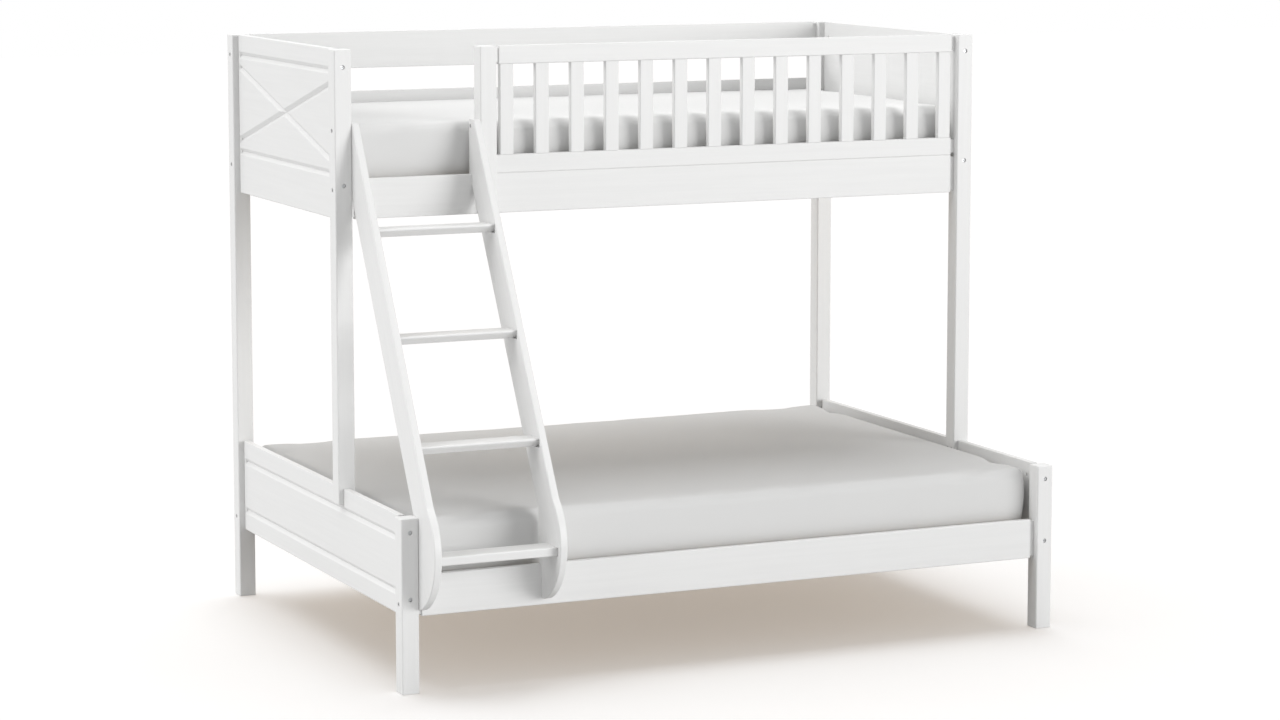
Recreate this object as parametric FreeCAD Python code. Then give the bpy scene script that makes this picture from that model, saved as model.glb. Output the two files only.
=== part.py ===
import FreeCAD, Part
import math
import os

# A triple bunk bed: a single bunk over a double one, joined by a slanted ladder.
# X runs along the bed, Z is up and the ladder side faces -Y. The origin is on the floor, under
# the middle of the whole outline. A place across the bed is a distance from the back plane,
# which y_at turns into Y.

Vector = FreeCAD.Vector

# Mattresses, which the bunks are built round
mattress_length = 2000.0
upper_mattress_width = 900.0
lower_mattress_width = 1400.0
mattress_thickness = 192.0
mattress_crown = 8.0
mattress_corner = 60.0
mattress_edge = 28.0
mattress_seat_gap = 0.3
mattress_play = 1.0
entry_post_play = 4.0

# Frame
bed_height = 1780.0
upper_bunk_height = 493.0
leg_height = 500.0
post_size = 52.0
post_easing = 2.5
post_top_chamfer = 2.0
board_thickness = 20.0
board_easing = 1.5
overrun = 5.0
same_place = 0.001

# Rails, back boards and their ends
rail_height = 118.0
lower_rail_bottom = 217.0
back_board_height = 115.0
shadow_gap = 14.0
tongue_thickness = 12.0
tongue_inset = 6.0

# Grooved end panels
groove_width = 22.0
groove_depth = 9.0
lower_panel_top_groove_drop = 64.0
lower_panel_bottom_groove_rise = 63.0
upper_panel_top_groove_drop = 63.0
upper_panel_bottom_groove_rise = 130.0
cross_margin = 36.0

# Slotted feet of the upper posts
foot_slot_depth = 46.0

# Guard rail
guard_rail_height = 54.0
baluster_count = 14
baluster_width = 43.0
baluster_thickness = 18.0
baluster_end_inset = 3.0
tenon_length = 12.0
tenon_thickness = 8.0
tenon_shoulder = 6.0

# Ladder
ladder_clear_width = 356.0
stringer_thickness = 22.0
stringer_depth = 124.0
stringer_easing = 2.0
ladder_hook_rise = 161.0
ladder_knee_reach = 84.6
ladder_knee_rise = 95.0
ladder_foot_reach = 123.0
ladder_foot_radius = 176.0
ladder_foot_centre_rise = 188.0
ladder_foot_bottom_rise = 21.0
ladder_foot_blend = 60.0
step_count = 4
first_step_rise = 68.0
last_step_drop = 14.0
step_thickness = 25.0
step_depth = 76.0
step_nose_radius = 4.0
step_setback = 6.0
bottom_step_setback = 27.0
step_undercut = 28.0
housing_depth = 8.0
housing_run = 2.0
bottom_housing_run = 10.0

# Slatted bases
slat_count = 14
slat_width = 68.0
slat_thickness = 18.0
slat_drop = 36.0
slat_end_clearance = 2.0
slat_row_margin = 30.0
ledger_width = 25.0
ledger_height = 34.0
ledger_end_clearance = 3.0
strap_width = 22.0
strap_thickness = 1.5
strap_place_share = 0.24
beam_width = 40.0
beam_height = 60.0
beam_end_clearance = 1.0
hanger_thickness = 3.0
hanger_reach = 36.0

# Fittings
shank_sides = 6
head_sides = 12
bolt_diameter = 6.0
bolt_bore_diameter = 6.6
bolt_head_diameter = 12.0
bolt_head_bore_diameter = 13.0
bolt_head_height = 6.0
bolt_head_sink = 4.0
bolt_tail = 9.0
nut_size = 10.0
nut_thickness = 5.0
nut_setback = 26.0
dowel_diameter = 6.0
dowel_length = 46.0
dowel_depth_in_post = 16.0
screw_diameter = 5.0
screw_head_diameter = 9.0
screw_head_height = 3.0
screw_point_depth = 10.0
panel_bolt_drop_in_upper = 51.0
panel_bolt_rise_in_upper = 100.0
panel_bolt_drop_in_lower = 40.0
panel_bolt_rise_in_lower = 53.0
upper_rail_bolt_drop = 32.0
lower_rail_bolt_drop = 81.0
top_board_bolt_drop = 63.0
upper_rail_dowel_rise = 28.0
lower_rail_dowel_rise = 88.0
middle_board_dowel_inset = 28.0
ladder_bolt_drop = 21.0
ladder_bolt_insert = 14.0
ladder_foot_screw_rise = 63.0
foot_screw_edge = 14.0
foot_screw_drop = 26.0
entry_screw_drop = 16.0

# Places worked out from the sizes above
board_recess = (post_size - board_thickness) / 2
board_inner = board_recess + board_thickness
bed_length = mattress_length + 2 * (mattress_play + post_size)
lower_depth = lower_mattress_width + 2 * (mattress_play + post_size)
upper_depth = board_inner + upper_mattress_width + entry_post_play + post_size
half_length = bed_length / 2
back_y = (lower_depth + ladder_foot_reach) / 2
upper_rail_bottom = bed_height - upper_bunk_height
lower_rail_top = lower_rail_bottom + rail_height
upper_rail_top = upper_rail_bottom + rail_height
board_half_length = half_length - post_size - shadow_gap
lower_slat_top = lower_rail_top - slat_drop
upper_slat_top = upper_rail_top - slat_drop
guard_bottom = upper_rail_top
guard_infill_bottom = guard_bottom + guard_rail_height
guard_infill_top = bed_height - guard_rail_height
entry_post_left = -half_length + post_size + 2 * stringer_thickness + ladder_clear_width
entry_post_right = entry_post_left + post_size
guard_left = entry_post_right + shadow_gap
guard_right = board_half_length
back_board_gap = (bed_height - upper_rail_top - 2 * back_board_height) / 2
middle_board_bottom = upper_rail_top + back_board_gap
top_board_bottom = bed_height - back_board_height
ladder_top = upper_rail_top + ladder_hook_rise
ladder_foot_centre = lower_depth + ladder_foot_reach - ladder_foot_radius
ladder_foot_centre_height = lower_rail_bottom + ladder_foot_centre_rise
ladder_foot_bottom = lower_rail_bottom + ladder_foot_bottom_rise
ladder_knee_height = ladder_foot_centre_height + ladder_knee_rise
ladder_lean = (lower_depth + ladder_knee_reach - upper_depth) / (ladder_top - ladder_knee_height)
first_step_top = lower_rail_top + first_step_rise
step_rise = (upper_rail_bottom - last_step_drop - first_step_top) / (step_count - 1)

AXIS_X = Vector(1, 0, 0)
AXIS_Y = Vector(0, 1, 0)
AXIS_Z = Vector(0, 0, 1)


def y_at(distance):
    """Y of a place at this distance in front of the back plane."""
    return back_y - distance


def block(x_range, distance_range, z_range):
    """A box between two X values, two distances from the back plane and two heights."""
    x0, x1 = min(x_range), max(x_range)
    near, far = min(distance_range), max(distance_range)
    z0, z1 = min(z_range), max(z_range)
    return Part.makeBox(x1 - x0, far - near, z1 - z0, Vector(x0, y_at(far), z0))


def box_between(first, second):
    """A box between two opposite corners."""
    low = Vector(min(first.x, second.x), min(first.y, second.y), min(first.z, second.z))
    high = Vector(max(first.x, second.x), max(first.y, second.y), max(first.z, second.z))
    size = high - low
    return Part.makeBox(size.x, size.y, size.z, low)


def edges_along(shape, axis):
    """The straight edges of a shape that run along an axis."""
    found = []
    for edge in shape.Edges:
        run = edge.Vertexes[-1].Point - edge.Vertexes[0].Point
        if run.Length > 0 and run.cross(axis).Length < same_place * run.Length:
            found.append(edge)
    return found


def bar(x_range, distance_range, z_range, axis, easing):
    """A box whose four long edges are eased by a small chamfer."""
    body = block(x_range, distance_range, z_range)
    return body.makeChamfer(easing, edges_along(body, axis))


def mirrored(shape):
    """The same piece for the other end of the bed."""
    return shape.mirror(Vector(0, 0, 0), AXIS_X)


def rod(start, axis, length, diameter, sides=shank_sides):
    """A small round bar or bore from a point along an axis, drawn as a prism to keep it light."""
    first = AXIS_X if axis.cross(AXIS_X).Length > same_place else AXIS_Z
    second = axis.cross(first)
    corners = []
    for index in range(sides):
        angle = 2 * math.pi * (index + 0.5) / sides
        offset = first * math.cos(angle) + second * math.sin(angle)
        corners.append(start + offset * (diameter / 2))
    return Part.Face(Part.makePolygon(corners + corners[:1])).extrude(axis * length)


# Fittings

def bolt_reach():
    """Length of a frame bolt's shank, from the floor of its counterbore to its tip."""
    floor = bolt_head_sink + bolt_head_height
    return post_size - floor + shadow_gap + nut_setback + bolt_tail


def bolt(start, axis, reach):
    """A bolt whose head is sunk below the face that starts at this point."""
    at_head = start + axis * bolt_head_sink
    head = rod(at_head, axis, bolt_head_height, bolt_head_diameter, head_sides)
    floor = bolt_head_sink + bolt_head_height
    return head.fuse(rod(start + axis * floor, axis, reach, bolt_diameter))


def bolt_bore(start, axis, reach):
    """The counterbore and shank hole of one bolt."""
    floor = bolt_head_sink + bolt_head_height
    outside = start - axis * overrun
    mouth = rod(outside, axis, floor + overrun, bolt_head_bore_diameter, head_sides)
    return mouth.fuse(rod(start, axis, floor + reach, bolt_bore_diameter))


def nut_centre(start, axis):
    """Middle of the square nut that the bolt from this start screws into."""
    return start + axis * (post_size + shadow_gap + nut_setback)


def square_nut(start, axis, inward):
    """A square nut on edge in the middle of the board, round the bolt's end."""
    centre = nut_centre(start, axis)
    half = axis * (nut_thickness / 2) + (inward + AXIS_Z) * (nut_size / 2)
    body = box_between(centre - half, centre + half)
    return body.cut(rod(centre - axis * nut_thickness, axis, 2 * nut_thickness, bolt_bore_diameter))


def nut_slot(start, axis, inward):
    """The slot that the nut is pushed into, open at the board's inner face."""
    centre = nut_centre(start, axis)
    half = axis * (nut_thickness / 2) + (inward + AXIS_Z) * (nut_size / 2)
    mouth = inward * (board_thickness / 2 + overrun - nut_size / 2)
    return box_between(centre - half, centre + half + mouth)


def panel_bolt_sites():
    """Start, axis and inward direction of every bolt that holds an end panel to a post."""
    sites = []
    rows = (
        (upper_depth, bed_height - panel_bolt_drop_in_upper),
        (upper_depth, upper_rail_bottom + panel_bolt_rise_in_upper),
        (lower_depth, leg_height - panel_bolt_drop_in_lower),
        (lower_depth, lower_rail_bottom + panel_bolt_rise_in_lower),
    )
    for side in (-1, 1):
        x = side * (half_length - post_size / 2)
        for depth, z in rows:
            sites.append((Vector(x, y_at(0), z), -AXIS_Y, AXIS_X * -side))
            sites.append((Vector(x, y_at(depth), z), AXIS_Y, AXIS_X * -side))
    return sites


def rail_bolt_sites():
    """The same for the bolts that hold the rails and the top back board."""
    sites = []
    back = post_size / 2
    rows = (
        (back, bed_height - top_board_bolt_drop, -AXIS_Y),
        (back, upper_rail_top - upper_rail_bolt_drop, -AXIS_Y),
        (back, lower_rail_top - lower_rail_bolt_drop, -AXIS_Y),
        (upper_depth - back, upper_rail_top - upper_rail_bolt_drop, AXIS_Y),
        (lower_depth - back, lower_rail_top - lower_rail_bolt_drop, AXIS_Y),
    )
    for side in (-1, 1):
        for distance, z, inward in rows:
            start = Vector(side * half_length, y_at(distance), z)
            sites.append((start, AXIS_X * -side, inward))
    return sites


def dowel_sites():
    """Start, inside the post, and axis of every dowel."""
    sites = []
    back = post_size / 2
    rows = [
        (back, upper_rail_bottom + upper_rail_dowel_rise),
        (back, lower_rail_bottom + lower_rail_dowel_rise),
        (back, middle_board_bottom + middle_board_dowel_inset),
        (back, middle_board_bottom + back_board_height - middle_board_dowel_inset),
        (upper_depth - back, upper_rail_bottom + upper_rail_dowel_rise),
        (lower_depth - back, lower_rail_bottom + lower_rail_dowel_rise),
    ]
    face = half_length - post_size
    for side in (-1, 1):
        for distance, z in rows:
            x = side * (face + dowel_depth_in_post)
            sites.append((Vector(x, y_at(distance), z), AXIS_X * -side))
    guard_distance = upper_depth - back
    right = face + dowel_depth_in_post
    for z in (guard_bottom + guard_rail_height / 2, bed_height - guard_rail_height / 2):
        sites.append((Vector(right, y_at(guard_distance), z), -AXIS_X))
    left = entry_post_right - dowel_depth_in_post
    sites.append((Vector(left, y_at(guard_distance), bed_height - guard_rail_height / 2), AXIS_X))
    return sites


def ladder_bolt_sites():
    """The two bolts that hold the ladder: start, axis and shank length."""
    y = y_at(upper_depth - post_size / 2)
    floor = bolt_head_sink + bolt_head_height
    through_post = post_size - floor + ladder_bolt_insert
    into_post = stringer_thickness - floor + post_size / 2
    z = ladder_top - ladder_bolt_drop
    left = Vector(-half_length, y, z)
    right = Vector(entry_post_left - stringer_thickness, y, z)
    return [(left, AXIS_X, through_post), (right, AXIS_X, into_post)]


def foot_screw_sites():
    """Screws through the inner tongue of each slotted foot, and of the entry post."""
    sites = []
    z = leg_height - foot_screw_drop
    for side in (-1, 1):
        for offset in (foot_screw_edge, post_size - foot_screw_edge):
            start = Vector(side * (half_length - post_size), y_at(upper_depth - offset), z)
            sites.append((start, AXIS_X * side))
    x = (entry_post_left + entry_post_right) / 2
    for z in (upper_rail_top - entry_screw_drop, guard_bottom + guard_rail_height / 2):
        sites.append((Vector(x, y_at(upper_depth - post_size), z), -AXIS_Y))
    return sites


def ladder_foot_screw_sites():
    """Screws through the lower front rail into the back edges of the ladder's two feet."""
    y = y_at(lower_depth - board_inner)
    left = -half_length + post_size + stringer_thickness / 2
    right = entry_post_left - stringer_thickness / 2
    z = lower_rail_bottom + ladder_foot_screw_rise
    return [(Vector(x, y, z), -AXIS_Y) for x in (left, right)]


def foot_screw_length():
    """A foot screw passes the inner tongue and the board, and stops in the outer tongue."""
    return board_recess + board_thickness + screw_point_depth


def ladder_foot_screw_length():
    """A ladder foot screw passes the rail and stops in the ladder."""
    return board_thickness + 2 * screw_point_depth


def screw(start, axis, length):
    """A screw with its head flush in the face that starts at this point."""
    head = rod(start, axis, screw_head_height, screw_head_diameter)
    return head.fuse(rod(start, axis, length, screw_diameter))


def all_bores():
    """Every hole of the frame, as solids that are cut from the pieces they pass through."""
    bores = []
    for start, axis, inward in panel_bolt_sites() + rail_bolt_sites():
        bores.append(bolt_bore(start, axis, bolt_reach()))
        bores.append(nut_slot(start, axis, inward))
    for start, axis, reach in ladder_bolt_sites():
        bores.append(bolt_bore(start, axis, reach))
    for start, axis in dowel_sites():
        bores.append(rod(start, axis, dowel_length, dowel_diameter))
    for start, axis in foot_screw_sites():
        bores.append(screw(start, axis, foot_screw_length()))
    for start, axis in ladder_foot_screw_sites():
        bores.append(screw(start, axis, ladder_foot_screw_length()))
    return bores


def drilled(piece, bores):
    """The piece with every bore that reaches it cut out."""
    near = [bore for bore in bores if bore.BoundBox.intersect(piece.BoundBox)]
    for bore in near:
        piece = piece.cut(bore)
    return piece


# Posts

def post(x_range, distance_range, z_range):
    """An upright with eased long edges and a small chamfer round its top."""
    body = bar(x_range, distance_range, z_range, AXIS_Z, post_easing)
    top = [edge for edge in body.Edges if edge.BoundBox.ZMin > max(z_range) - post_top_chamfer]
    return body.makeChamfer(post_top_chamfer, top)


def back_post():
    """The full-height post at the back left corner."""
    return post((-half_length, -half_length + post_size), (0, post_size), (0, bed_height))


def front_leg():
    """The short leg at the front left corner of the lower bed."""
    distances = (lower_depth - post_size, lower_depth)
    return post((-half_length, -half_length + post_size), distances, (0, leg_height))


def upper_front_post():
    """The upper bunk's front left post, whose slotted foot straddles the lower end panel."""
    foot = leg_height - foot_slot_depth
    distances = (upper_depth - post_size, upper_depth)
    body = post((-half_length, -half_length + post_size), distances, (foot, bed_height))
    slot_x = (-half_length + board_recess, -half_length + board_inner)
    slot_distances = (distances[0] - overrun, distances[1] + overrun)
    return body.cut(block(slot_x, slot_distances, (foot - overrun, leg_height)))


def entry_post():
    """The post beside the ladder opening, slotted over the side rail and the guard's bottom rail."""
    distances = (upper_depth - post_size, upper_depth)
    body = post((entry_post_left, entry_post_right), distances, (upper_rail_bottom, bed_height))
    across = (entry_post_left - overrun, entry_post_right + overrun)
    below = upper_rail_bottom - overrun
    slot = (upper_depth - board_inner, upper_depth - board_recess)
    body = body.cut(block(across, slot, (below, guard_infill_bottom)))
    inner_tongue = (distances[0] - overrun, upper_depth - board_inner)
    return body.cut(block(across, inner_tongue, (below, upper_slat_top)))


# Boards

def long_board(x_range, near_distance, z_range, tongue_ends):
    """A board along the bed, with a tongue at each end named by its sign in tongue_ends."""
    distances = (near_distance, near_distance + board_thickness)
    body = bar(x_range, distances, z_range, AXIS_X, board_easing)
    middle = near_distance + board_thickness / 2
    tongue_distances = (middle - tongue_thickness / 2, middle + tongue_thickness / 2)
    tongue_z = (z_range[0] + tongue_inset, z_range[1] - tongue_inset)
    for end in tongue_ends:
        shoulder = x_range[0] if end < 0 else x_range[1]
        tongue_x = (shoulder - end * overrun, shoulder + end * shadow_gap)
        body = body.fuse(block(tongue_x, tongue_distances, tongue_z))
    return body.removeSplitter()


def rail(near_distance, bottom, height):
    """A full-length board between the two posts of one side."""
    x_range = (-board_half_length, board_half_length)
    return long_board(x_range, near_distance, (bottom, bottom + height), (-1, 1))


def groove_cutter(start, end):
    """A V-shaped cutter along a line on the outer face, between two (distance, height) points."""
    face = -half_length + board_recess
    first = Vector(face, y_at(start[0]), start[1])
    last = Vector(face, y_at(end[0]), end[1])
    along = (last - first).normalize()
    across = along.cross(AXIS_X)
    spread = groove_width / 2 * (1 + overrun / groove_depth)
    origin = first - along * groove_width
    corners = [
        origin - AXIS_X * overrun + across * spread,
        origin - AXIS_X * overrun - across * spread,
        origin + AXIS_X * groove_depth,
    ]
    profile = Part.Face(Part.makePolygon(corners + corners[:1]))
    return profile.extrude(last - first + along * (2 * groove_width))


def end_panel(depth, z_range, groove_lines):
    """The left end panel of one bunk, grooved on its outer face, with a tongue at each end."""
    x_range = (-half_length + board_recess, -half_length + board_inner)
    near, far = post_size + shadow_gap, depth - post_size - shadow_gap
    body = bar(x_range, (near, far), z_range, AXIS_Y, board_easing)
    for start, end in groove_lines:
        body = body.cut(groove_cutter(start, end))
    middle = sum(x_range) / 2
    tongue_x = (middle - tongue_thickness / 2, middle + tongue_thickness / 2)
    tongue_z = (z_range[0] + tongue_inset, z_range[1] - tongue_inset)
    body = body.fuse(block(tongue_x, (near + overrun, post_size), tongue_z))
    return body.fuse(block(tongue_x, (far - overrun, depth - post_size), tongue_z))


def lower_end_panel():
    """Two level grooves frame the lower panel."""
    near, far = post_size + shadow_gap, lower_depth - post_size - shadow_gap
    top = leg_height - lower_panel_top_groove_drop
    bottom = lower_rail_bottom + lower_panel_bottom_groove_rise
    lines = [((near, z), (far, z)) for z in (bottom, top)]
    return end_panel(lower_depth, (lower_rail_bottom, leg_height), lines)


def upper_end_panel():
    """Two level grooves, with two crossed ones between them."""
    near, far = post_size + shadow_gap, upper_depth - post_size - shadow_gap
    top = bed_height - upper_panel_top_groove_drop
    bottom = upper_rail_bottom + upper_panel_bottom_groove_rise
    lines = [((near, z), (far, z)) for z in (bottom, top)]
    lines.append(((near, bottom + cross_margin), (far, top - cross_margin)))
    lines.append(((near, top - cross_margin), (far, bottom + cross_margin)))
    return end_panel(upper_depth, (upper_rail_bottom, bed_height), lines)


# Guard rail

def baluster_lefts():
    """X of the left side of each baluster."""
    first = guard_left + baluster_end_inset
    last = guard_right - baluster_end_inset - baluster_width
    pitch = (last - first) / (baluster_count - 1)
    return [first + pitch * index for index in range(baluster_count)]


def baluster(left):
    """One upright slat of the guard, with a tenon at each end."""
    middle = upper_depth - post_size / 2
    distances = (middle - baluster_thickness / 2, middle + baluster_thickness / 2)
    heights = (guard_infill_bottom, guard_infill_top)
    body = bar((left, left + baluster_width), distances, heights, AXIS_Z, board_easing)
    return body.fuse(baluster_tenons(left)).removeSplitter()


def baluster_tenons(left):
    """The square peg that runs into both guard rails, as one block through the baluster."""
    middle = upper_depth - post_size / 2
    distances = (middle - tenon_thickness / 2, middle + tenon_thickness / 2)
    heights = (guard_infill_bottom - tenon_length, guard_infill_top + tenon_length)
    return block((left + tenon_shoulder, left + baluster_width - tenon_shoulder), distances, heights)


def guard_top_rail():
    """The guard's handrail, mortised for the balusters."""
    near = upper_depth - board_inner
    body = long_board((guard_left, guard_right), near, (guard_infill_top, bed_height), (-1, 1))
    return body.cut([baluster_tenons(left) for left in baluster_lefts()])


def guard_bottom_rail():
    """The guard's bottom rail, which runs on through the slot of the entry post."""
    near = upper_depth - board_inner
    heights = (guard_bottom, guard_infill_bottom)
    body = long_board((entry_post_left, guard_right), near, heights, (1,))
    return body.cut([baluster_tenons(left) for left in baluster_lefts()])


# Slatted bases

def ledger(near_distance, slat_top):
    """A batten along the inside of a rail, between the posts and under the slats."""
    top = slat_top - slat_thickness
    reach = half_length - post_size - ledger_end_clearance
    distances = (near_distance, near_distance + ledger_width)
    return block((-reach, reach), distances, (top - ledger_height, top))


def slats(depth, slat_top):
    """A row of slats across one bunk, as separate solids."""
    reach = half_length - board_inner - slat_row_margin - slat_width
    pitch = 2 * reach / (slat_count - 1)
    distances = (board_inner + slat_end_clearance, depth - board_inner - slat_end_clearance)
    row = []
    for index in range(slat_count):
        middle = -reach + pitch * index
        x_range = (middle - slat_width / 2, middle + slat_width / 2)
        row.append(block(x_range, distances, (slat_top - slat_thickness, slat_top)))
    return Part.makeCompound(row)


def slat_straps(depth, slat_top):
    """Two webbing straps that keep the slats of one bunk in step, fixed under them."""
    reach = half_length - board_inner - slat_row_margin - slat_width / 2
    under = slat_top - slat_thickness
    span = depth - 2 * board_inner
    straps = []
    for share in (strap_place_share, 1 - strap_place_share):
        middle = board_inner + span * share
        distances = (middle - strap_width / 2, middle + strap_width / 2)
        straps.append(block((-reach, reach), distances, (under - strap_thickness, under)))
    return Part.makeCompound(straps)


def centre_beam():
    """The beam under the middle of the lower slats."""
    reach = half_length - board_inner - beam_end_clearance
    top = lower_slat_top - slat_thickness
    middle = lower_depth / 2
    distances = (middle - beam_width / 2, middle + beam_width / 2)
    return bar((-reach, reach), distances, (top - beam_height, top), AXIS_X, board_easing)


def beam_hanger():
    """The steel stirrup on the left end panel that carries the beam's end."""
    face = -half_length + board_inner
    bottom = lower_slat_top - slat_thickness - beam_height
    middle = lower_depth / 2
    outer = beam_width / 2 + hanger_thickness
    x_range = (face, face + hanger_reach)
    top = bottom + beam_height / 2
    shell = block(x_range, (middle - outer, middle + outer), (bottom - hanger_thickness, top))
    inner = block(
        (face - overrun, face + hanger_reach + overrun),
        (middle - beam_width / 2, middle + beam_width / 2),
        (bottom, top + overrun),
    )
    return shell.cut(inner)


# Mattresses

def crowned_block(width, centre_distance, bottom):
    """A mattress with round corners, a crown across its top and soft upper and lower edges."""
    half_width = width / 2
    shoulder = bottom + mattress_thickness - mattress_crown
    crest = bottom + mattress_thickness
    x0 = -mattress_length / 2
    y = y_at(centre_distance)
    left_top = Vector(x0, y - half_width, shoulder)
    right_top = Vector(x0, y + half_width, shoulder)
    left_bottom = Vector(x0, y - half_width, bottom)
    right_bottom = Vector(x0, y + half_width, bottom)
    crown = Part.Arc(left_top, Vector(x0, y, crest), right_top).toShape()
    sides = [
        Part.makeLine(right_top, right_bottom),
        Part.makeLine(right_bottom, left_bottom),
        Part.makeLine(left_bottom, left_top),
    ]
    section = Part.Face(Part.Wire([crown] + sides))
    body = section.extrude(AXIS_X * mattress_length)
    body = body.makeFillet(mattress_corner, edges_along(body, AXIS_Z))
    soft = [edge for edge in body.Edges if not edge.BoundBox.ZLength > mattress_thickness / 2]
    return body.makeFillet(mattress_edge, soft)


def upper_mattress():
    """It lies between the back boards and the entry post."""
    centre = (board_inner + upper_depth - post_size) / 2
    return crowned_block(upper_mattress_width, centre, upper_slat_top + mattress_seat_gap)


def lower_mattress():
    """It lies in the middle of the lower bed."""
    return crowned_block(lower_mattress_width, lower_depth / 2, lower_slat_top + mattress_seat_gap)


# Ladder

def front_edge(z):
    """Distance of the ladder's slanted front edge at a height."""
    return upper_depth + ladder_lean * (ladder_top - z)


def back_edge(z):
    """Distance of the ladder's slanted back edge at a height."""
    return front_edge(z) - stringer_depth


def back_edge_height(distance):
    """Height at which the slanted back edge reaches a distance."""
    return ladder_top - (distance + stringer_depth - upper_depth) / ladder_lean


def foot_shoulder_height():
    """Height at which the front edge runs into the round foot: the upper root of a quadratic."""
    lean = ladder_lean
    gap = upper_depth + lean * ladder_top - ladder_foot_centre
    a = 1 + lean ** 2
    b = -2 * (lean * gap + ladder_foot_centre_height)
    c = gap ** 2 + ladder_foot_centre_height ** 2 - ladder_foot_radius ** 2
    return (-b + math.sqrt(b ** 2 - 4 * a * c)) / (2 * a)


def foot_point(angle):
    """A point of the round foot, at an angle above the level line through its centre."""
    distance = ladder_foot_centre + ladder_foot_radius * math.cos(angle)
    return distance, ladder_foot_centre_height + ladder_foot_radius * math.sin(angle)


def stringer_corners():
    """Corners of the stringer's side view, from the foot up the back to the top's front."""
    upper_inner, upper_outer = upper_depth - board_inner, upper_depth - board_recess
    lower_inner, lower_outer = lower_depth - board_inner, lower_depth - board_recess
    return [
        (lower_outer, ladder_foot_bottom),
        (lower_outer, lower_rail_top),
        (lower_inner, lower_rail_top),
        (lower_inner, back_edge_height(lower_inner)),
        (upper_outer, back_edge_height(upper_outer)),
        (upper_outer, upper_rail_top),
        (upper_inner, upper_rail_top),
        (upper_inner, ladder_top),
        (upper_depth, ladder_top),
    ]


def foot_arc_points():
    """Three points of the foot's arc: where the front edge meets it, its middle and its end."""
    rise = foot_shoulder_height() - ladder_foot_centre_height
    fall = ladder_foot_centre_height - ladder_foot_bottom
    first = math.asin(rise / ladder_foot_radius)
    last = -math.asin(fall / ladder_foot_radius)
    return [foot_point(angle) for angle in (first, (first + last) / 2, last)]


def stringer_face(left):
    """The stringer's side view as a face at one X."""
    def place(point):
        return Vector(left, y_at(point[0]), point[1])

    start, middle, end = foot_arc_points()
    corners = stringer_corners() + [start]
    edges = [Part.makeLine(place(a), place(b)) for a, b in zip(corners, corners[1:])]
    edges.append(Part.Arc(place(start), place(middle), place(end)).toShape())
    edges.append(Part.makeLine(place(end), place(corners[0])))
    return Part.Face(Part.Wire(edges))


def stringer(left):
    """One side of the ladder, hooked over both front rails, its front and foot eased."""
    body = stringer_face(left).extrude(AXIS_X * stringer_thickness)
    shoulder = Vector(left, y_at(foot_arc_points()[0][0]), foot_arc_points()[0][1])
    blend = []
    for edge in edges_along(body, AXIS_X):
        if min((corner.Point - shoulder).Length for corner in edge.Vertexes) < same_place:
            blend.append(edge)
    body = body.makeFillet(ladder_foot_blend, blend)
    return body.makeChamfer(stringer_easing, stringer_front_edges(body))


def stringer_front_edges(body):
    """The long edges of the slanted front and of the round foot, on both faces."""
    found = []
    for edge in body.Edges:
        box = edge.BoundBox
        middle_z = (box.ZMin + box.ZMax) / 2
        middle_y = (box.YMin + box.YMax) / 2
        in_one_face = box.XLength < stringer_thickness / 2
        in_front = middle_y < y_at(back_edge(middle_z) + stringer_depth / 2)
        if in_one_face and in_front and box.ZLength > stringer_easing:
            found.append(edge)
    return found


def step_tops():
    """Height of the top of each step, from the lowest up."""
    return [first_step_top + step_rise * index for index in range(step_count)]


def step_front(top):
    """Distance of the front of a step's top; the lowest stands above the round feet."""
    if top == first_step_top:
        return lower_depth + ladder_foot_reach - bottom_step_setback
    return front_edge(top) - step_setback


def step_section(top):
    """Corners of a step's side view; all but the lowest have their front cut under."""
    bottom = top - step_thickness
    front = step_front(top)
    rear = front - step_depth
    undercut = 0 if top == first_step_top else step_undercut
    return [(rear, top), (front, top), (front - undercut, bottom), (rear, bottom)]


def step(top):
    """One step, which reaches into the housings of both stringers."""
    left = -half_length + post_size + stringer_thickness - housing_depth
    corners = [Vector(left, y_at(d), z) for d, z in step_section(top)]
    face = Part.Face(Part.makePolygon(corners + corners[:1]))
    body = face.extrude(AXIS_X * (ladder_clear_width + 2 * housing_depth))
    nose = []
    for edge in edges_along(body, AXIS_X):
        if edge.BoundBox.YMin < body.BoundBox.YMin + step_nose_radius:
            nose.append(edge)
    return body.makeFillet(step_nose_radius, nose)


def housing(top):
    """The slot of one step, cut in both stringers at once, closed before and behind the step."""
    left = -half_length + post_size + stringer_thickness - housing_depth
    front = step_front(top)
    run = bottom_housing_run if top == first_step_top else housing_run
    x_range = (left, left + ladder_clear_width + 2 * housing_depth)
    return block(x_range, (front - step_depth, front + run), (top - step_thickness, top))


def ladder_sides():
    """Both stringers with their housings cut."""
    left = stringer(-half_length + post_size)
    right = stringer(entry_post_left - stringer_thickness)
    slots = [housing(top) for top in step_tops()]
    return left.cut(slots), right.cut(slots)


# The whole bed

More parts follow.
